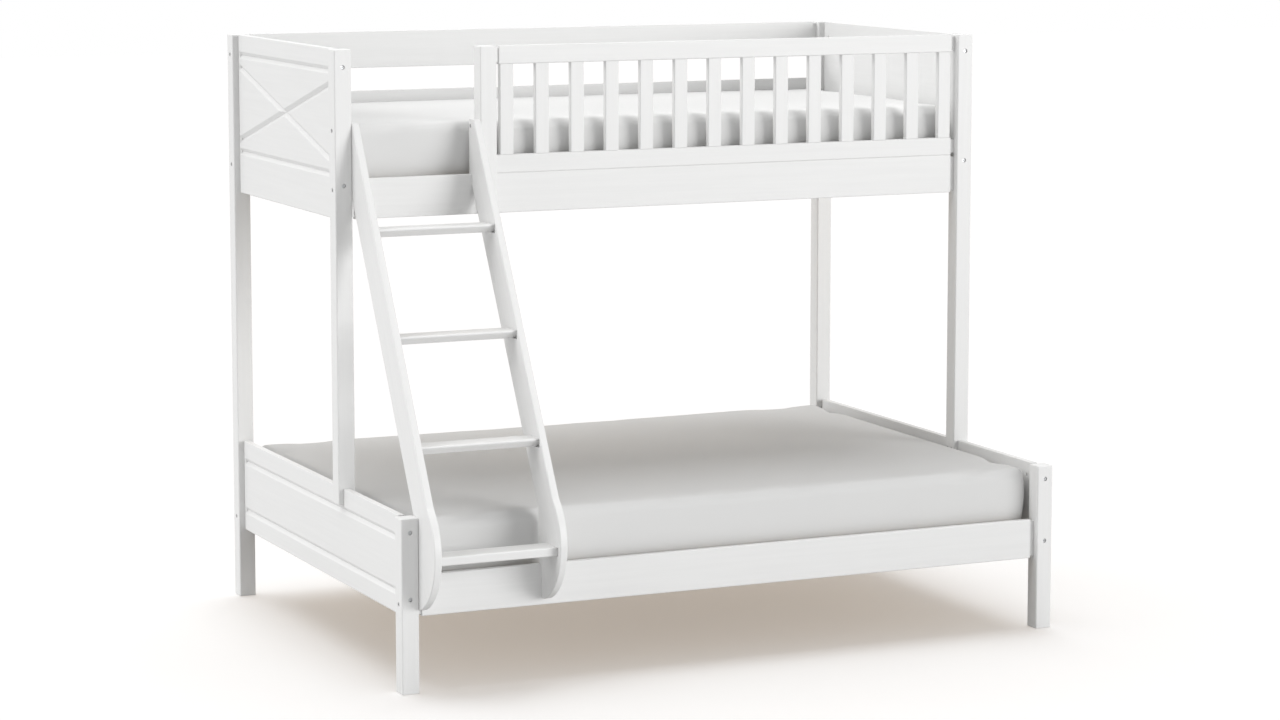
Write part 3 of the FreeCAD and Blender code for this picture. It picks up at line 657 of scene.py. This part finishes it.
class BUNK_OT_lacquer(bpy.types.Operator):
    """Lacquer the posts, boards, guard and ladder, each with the grain along its length"""

    bl_idname = "bunk.lacquer"
    bl_label = "Lacquered Wood"

    def execute(self, context):
        dress(UPRIGHT + BALUSTERS, lacquer("white_lacquer_upright", "Z"))
        dress(LENGTHWISE + STEPS, lacquer("white_lacquer_lengthwise", "X"))
        dress(CROSSWISE, lacquer("white_lacquer_crosswise", "Y"))
        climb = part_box(STEPS[-1])[0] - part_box(STEPS[0])[0]
        slope = math.atan2(climb.y, climb.z)
        dress(STRINGERS, lacquer("white_lacquer_sloping", "Z", (slope, 0.0, 0.0)))
        return {"FINISHED"}


class BUNK_OT_timber(bpy.types.Operator):
    """Finish the battens and the centre beam as bare pine, and the dowels as beech"""

    bl_idname = "bunk.timber"
    bl_label = "Bare Timber"

    def execute(self, context):
        dress(TIMBER, pine("bare_pine_lengthwise", "X"))
        dress(["frame_dowels"], beech("beech_dowel"))
        dress(STRAPS, tape_cloth("webbing"))
        return {"FINISHED"}


class BUNK_OT_slats(bpy.types.Operator):
    """Grow both rows of slats, with rounded long edges"""

    bl_idname = "bunk.slats"
    bl_label = "Slats"

    def execute(self, context):
        size = context.scene.bunk_base
        tree = slat_tree()
        material = pine("bare_pine_slats", "Y")
        for node in ("upper_slats", "lower_slats"):
            low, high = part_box(node)
            pitch = (high.x - low.x - size.width) / (size.count - 1)
            values = {
                "Count": size.count,
                "Start": (low.x + size.width / 2, low.y, (low.z + high.z) / 2),
                "Pitch": (pitch, 0.0, 0.0),
                "Slat Width": size.width,
                "Slat Thickness": high.z - low.z,
                "Span": (0.0, high.y - low.y, 0.0),
                "Edge Radius": size.rounding,
                "Finish": material,
            }
            piece = grown(node + "_rounded", bpy.data.meshes.new(node), tree, values)
            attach(piece, "frame")
            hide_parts(node)
        return {"FINISHED"}


class BUNK_OT_bolts(bpy.types.Operator):
    """Grow the bolts with their hexagon sockets where the frame has them"""

    bl_idname = "bunk.bolts"
    bl_label = "Bolts"

    def execute(self, context):
        material = zinc("zinc_bolts", "Z")
        place_fasteners("bolts_in_frame", "frame_bolts", bolt_outline, material)
        place_fasteners("bolts_in_ladder", "ladder_bolts", bolt_outline, material)
        return {"FINISHED"}


class BUNK_OT_screws(bpy.types.Operator):
    """Grow the countersunk screws, and plate the square nuts and the hangers of the centre beam"""

    bl_idname = "bunk.screws"
    bl_label = "Screws"

    def execute(self, context):
        material = zinc("zinc_screws", "Z")
        place_fasteners("screws_in_posts", "post_foot_screws", screw_outline, material)
        place_fasteners("screws_in_ladder_feet", "ladder_foot_screws", screw_outline, material)
        dress(STEEL, zinc("zinc_plate", "X"))
        return {"FINISHED"}


ROUND_STEPS = 4  # steps of the mesh over each rounded end of a mattress


def even_shares(length, grid, fine):
    """Shares from -1 to 1 along a side: fine steps over the rounded ends, even ones between."""
    half = length / 2
    steps = max(2, math.ceil((length - 2 * fine) / grid))
    ends = [1.0 - fine / half * index / ROUND_STEPS for index in range(ROUND_STEPS + 1)]
    inner = [-(half - fine) / half * (1 - 2 * index / steps) for index in range(1, steps)]
    return [-share for share in ends] + inner + ends[::-1]


def block_point(share, half, size):
    """A point of a plain block, given by its shares, moved on to the rounded and crowned one."""
    corner, edge = size.corner_radius, size.edge_radius
    flat = Vector((share[0] * half.x, share[1] * half.y))
    height = share[2] * half.z
    core = Vector((max(corner - half.x, min(half.x - corner, flat.x)),
                   max(corner - half.y, min(half.y - corner, flat.y))))
    out = flat - core
    reach = max(abs(out.x), abs(out.y))
    outward = out.normalized() if reach > 0 else Vector((0.0, 0.0))
    past = max(0.0, reach - (corner - edge))
    above = max(0.0, abs(height) - (half.z - edge))
    length = math.hypot(past, above)
    if past > 0 and above > 0:
        reach += past * (edge / length - 1)
        height = math.copysign(half.z - edge + above * edge / length, height)
    tuck = size.side_tuck if height > 0 else size.foot_tuck
    pinch = tuck * (reach / corner) * (height / half.z) ** 2
    spot = core + outward * (reach - pinch)
    if height > 0:
        level_x = 1 - (spot.x / half.x) ** 4
        level_y = 1 - (spot.y / half.y) ** 4
        height -= size.crown * (1 - level_x * level_y) * (height / half.z)
    return Vector((spot.x, spot.y, height))


def padded_block(name, low, high, size):
    """A closed, rounded block on a grid that is finer at its edges."""
    half = (high - low) / 2
    middle = (low + high) / 2
    shares = [even_shares(2 * half[i], size.grid, size.edge_radius if i == 2 else size.corner_radius)
              for i in range(3)]
    counts = [len(one) - 1 for one in shares]
    mesh = bmesh.new()
    corners = {}

    def corner(*key):
        if key not in corners:
            share = [shares[i][key[i]] for i in range(3)]
            corners[key] = mesh.verts.new(middle + block_point(share, half, size))
        return corners[key]

    for axis in range(3):
        one, two = (axis + 1) % 3, (axis + 2) % 3
        for end in (0, counts[axis]):
            for i in range(counts[one]):
                for j in range(counts[two]):
                    loop = []
                    for a, b in ((i, j), (i + 1, j), (i + 1, j + 1), (i, j + 1)):
                        key = [0, 0, 0]
                        key[axis], key[one], key[two] = end, a, b
                        loop.append(corner(*key))
                    mesh.faces.new(loop if end else loop[::-1])
    data = bpy.data.meshes.new(name)
    mesh.to_mesh(data)
    mesh.free()
    return new_piece(name, data)


COVER = {
    "vertex_group_mass": "pins",
    "quality": 5,
    "mass": 0.3,
    "tension_stiffness": 25,
    "compression_stiffness": 25,
    "bending_stiffness": 2.0,
    "use_pressure": True,
}


def swell(piece, low, size):
    """Fills a block by cloth simulation and keeps its bottom flat."""
    scene = bpy.context.scene
    rest = [corner.co.copy() for corner in piece.data.vertices]
    pins = piece.vertex_groups.new(name="pins")
    pins.add([i for i, point in enumerate(rest) if point.z < low.z + size.pinned_height], 1.0, "REPLACE")
    cloth = piece.modifiers.new("filling", "CLOTH")
    for key, value in COVER.items():
        setattr(cloth.settings, key, value)
    cloth.settings.uniform_pressure_force = size.pressure
    cloth.settings.effector_weights.gravity = 0
    cloth.point_cache.frame_start = 1
    cloth.point_cache.frame_end = size.frames
    for step in range(1, size.frames + 1):
        scene.frame_set(step)
    graph = bpy.context.evaluated_depsgraph_get()
    blown = [corner.co.copy() for corner in piece.evaluated_get(graph).data.vertices]
    piece.modifiers.remove(cloth)
    scene.frame_set(1)
    limits = (size.side_swell, size.side_swell, size.top_swell)
    for corner, before, after in zip(piece.data.vertices, rest, blown):
        move = after - before
        corner.co = before + Vector([max(-limit, min(limit, step)) for limit, step in zip(limits, move)])
    piece.vertex_groups.clear()


def kept_inside(piece, low, high):
    """Moves points that are past a box back on to it."""
    for corner in piece.data.vertices:
        corner.co = Vector([max(low[i], min(high[i], corner.co[i])) for i in range(3)])


def subdivided(piece):
    """One level of subdivision, kept in the mesh."""
    piece.modifiers.new("smooth", "SUBSURF").levels = 1
    graph = bpy.context.evaluated_depsgraph_get()
    data = bpy.data.meshes.new_from_object(piece.evaluated_get(graph), depsgraph=graph)
    piece.modifiers.clear()
    data.name = piece.name
    piece.data = data
    for polygon in data.polygons:
        polygon.use_smooth = True


def box_unwrapped(piece):
    """Cover coordinates in metres, taken from the side that each face looks to."""
    data = piece.data
    layer = data.uv_layers.new(name="cover")
    for polygon in data.polygons:
        normal = [abs(value) for value in polygon.normal]
        axis = normal.index(max(normal))
        one, two = ((1, 2), (0, 2), (0, 1))[axis]
        for index in polygon.loop_indices:
            spot = data.vertices[data.loops[index].vertex_index].co
            layer.data[index].uv = (spot[one], spot[two])


class BUNK_OT_mattresses(bpy.types.Operator):
    """Fill both mattresses and pull their covers smooth"""

    bl_idname = "bunk.mattresses"
    bl_label = "Mattresses"

    def execute(self, context):
        size = context.scene.bunk_mattress
        material = cover_cloth("mattress_cover")
        for node in ("upper_mattress", "lower_mattress"):
            low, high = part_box(node)
            start_high = high - Vector((0.0, 0.0, size.top_swell / 2))
            piece = padded_block(node + "_soft", low, start_high, size)
            swell(piece, low, size)
            subdivided(piece)
            kept_inside(piece, low, high)
            box_unwrapped(piece)
            piece.data.materials.append(material)
            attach(piece, node)
            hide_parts(node)
        return {"FINISHED"}


SENSOR_WIDTH = 36.0  # in millimetres, as the lens is
VIEW_REACH = 200.0


class BUNK_OT_stage(bpy.types.Operator):
    """Set up the floor, the light and the camera"""

    bl_idname = "bunk.stage"
    bl_label = "Stage"

    def execute(self, context):
        size = context.scene.bunk_stage
        floor = self.floor(size)
        self.sky(context, size)
        shaded = bpy.data.objects["lower_mattress_soft"]
        self.lamp("key", size.key, spread=36.0, source=(0.60, -0.75, 0.15), spared=(floor,))
        self.lamp("side", size.side, spread=44.0, source=(-0.84, 0.12, 0.62), spared=(floor, shaded))
        self.lamp("top", size.top, spread=60.0, source=(0.0, 0.38, 1.0))
        self.camera(context, size)
        context.scene.view_settings.view_transform = "Standard"
        return {"FINISHED"}

    def floor(self, size):
        """A pale floor that gives back plain light and looks white to the camera away from shadows."""
        reach, height = size.floor_size, -size.floor_gap
        mesh = bpy.data.meshes.new("floor")
        corners = [(x * reach, y * reach, height) for x, y in ((-1, -1), (1, -1), (1, 1), (-1, 1))]
        mesh.from_pydata(corners, [], [(0, 1, 2, 3)])
        floor = new_piece("floor", mesh)
        finish = Finish(bpy.data.materials.new("studio_floor"))
        camera_ray = finish.node("ShaderNodeLightPath", output="Is Camera Ray")
        plain = dimmed(WHITE, size.floor_bounce)
        colour = finish.mix(camera_ray, opaque(plain), opaque(size.floor_colour))
        matt = finish.node("ShaderNodeBsdfDiffuse", None, {"Color": colour})
        lift = finish.node("ShaderNodeEmission", None,
                           {"Color": opaque(size.lift_colour), "Strength": size.floor_lift})
        seen = finish.node("ShaderNodeAddShader", None, {0: matt, 1: lift})
        mixed = finish.node("ShaderNodeMixShader", None, {0: camera_ray, 1: matt, 2: seen})
        finish.node("ShaderNodeOutputMaterial", None, {"Surface": mixed})
        mesh.materials.append(finish.owner)
        return floor

    def sky(self, context, size):
        """A white backdrop for what is seen or mirrored, and a weaker even light for the rest."""
        finish = Finish(bpy.data.worlds.new("studio"))
        context.scene.world = finish.owner
        camera_ray, clear_ray, mirror_ray = [
            finish.node("ShaderNodeLightPath", output=ray)
            for ray in ("Is Camera Ray", "Is Transmission Ray", "Is Glossy Ray")]
        seen = camera_ray.either(clear_ray).either(mirror_ray)
        strength = finish.node("ShaderNodeMix", None, {"Factor": seen, "A": size.sky, "B": 1.0})
        light = finish.node("ShaderNodeBackground", None, {"Color": opaque(WHITE), "Strength": strength})
        finish.node("ShaderNodeOutputWorld", None, {"Surface": light})

    def lamp(self, name, strength, spread, source, spared=()):
        """A distant soft light, spread over some degrees, that leaves the spared pieces unlit."""
        lamp = bpy.data.lights.new(name, "SUN")
        lamp.energy = strength
        lamp.angle = math.radians(spread)
        light = bpy.data.objects.new(name, lamp)
        bpy.context.scene.collection.objects.link(light)
        light.rotation_mode = "QUATERNION"
        light.rotation_quaternion = Vector(source).to_track_quat("Z", "Y")
        if spared:
            unlit = bpy.data.collections.new("not_lit_by_" + name)
            light.light_linking.receiver_collection = unlit
            for index, piece in enumerate(spared):
                unlit.objects.link(piece)
                unlit.collection_objects[index].light_linking.link_state = "EXCLUDE"

    def camera(self, context, size):
        """The photograph's point of view."""
        data = bpy.data.cameras.new("camera")
        data.lens = size.lens
        data.sensor_width = SENSOR_WIDTH
        data.shift_y = size.shift
        data.clip_end = VIEW_REACH
        camera = bpy.data.objects.new("camera", data)
        context.scene.collection.objects.link(camera)
        camera.location = size.camera_place
        turn, dip = size.camera_turn, size.camera_dip
        ahead = Vector((math.sin(turn) * math.cos(dip), math.cos(turn) * math.cos(dip), -math.sin(dip)))
        camera.rotation_mode = "QUATERNION"
        camera.rotation_quaternion = ahead.to_track_quat("-Z", "Y")
        context.scene.camera = camera


class BUNK_PT_sidebar(bpy.types.Panel):
    """Lists the steps and their sizes"""

    bl_idname = "BUNK_PT_sidebar"
    bl_label = "Bunk Bed"
    bl_space_type = "VIEW_3D"
    bl_region_type = "UI"
    bl_category = "Bunk Bed"

    def draw(self, context):
        for operator in OPERATORS:
            self.layout.operator(operator.bl_idname)
        for holder in GROUPS:
            group = getattr(context.scene, holder)
            for key in group.__annotations__:
                self.layout.prop(group, key)


OPERATORS = (BUNK_OT_lacquer, BUNK_OT_timber, BUNK_OT_slats, BUNK_OT_bolts, BUNK_OT_screws,
             BUNK_OT_mattresses, BUNK_OT_stage)
GROUPS = {
    "bunk_finish": BunkFinish,
    "bunk_fittings": BunkFittings,
    "bunk_base": BunkBase,
    "bunk_mattress": BunkMattress,
    "bunk_stage": BunkStage,
}


def register():
    for group in GROUPS.values():
        bpy.utils.register_class(group)
    for holder, group in GROUPS.items():
        setattr(bpy.types.Scene, holder, bpy.props.PointerProperty(type=group))
    for operator in OPERATORS:
        bpy.utils.register_class(operator)
    bpy.utils.register_class(BUNK_PT_sidebar)


def unregister():
    bpy.utils.unregister_class(BUNK_PT_sidebar)
    for operator in reversed(OPERATORS):
        bpy.utils.unregister_class(operator)
    for holder, group in GROUPS.items():
        delattr(bpy.types.Scene, holder)
        bpy.utils.unregister_class(group)


def main():
    register()
    for operator in OPERATORS:
        category, name = operator.bl_idname.split(".")
        getattr(getattr(bpy.ops, category), name)()


if __name__ == "__main__":
    main()
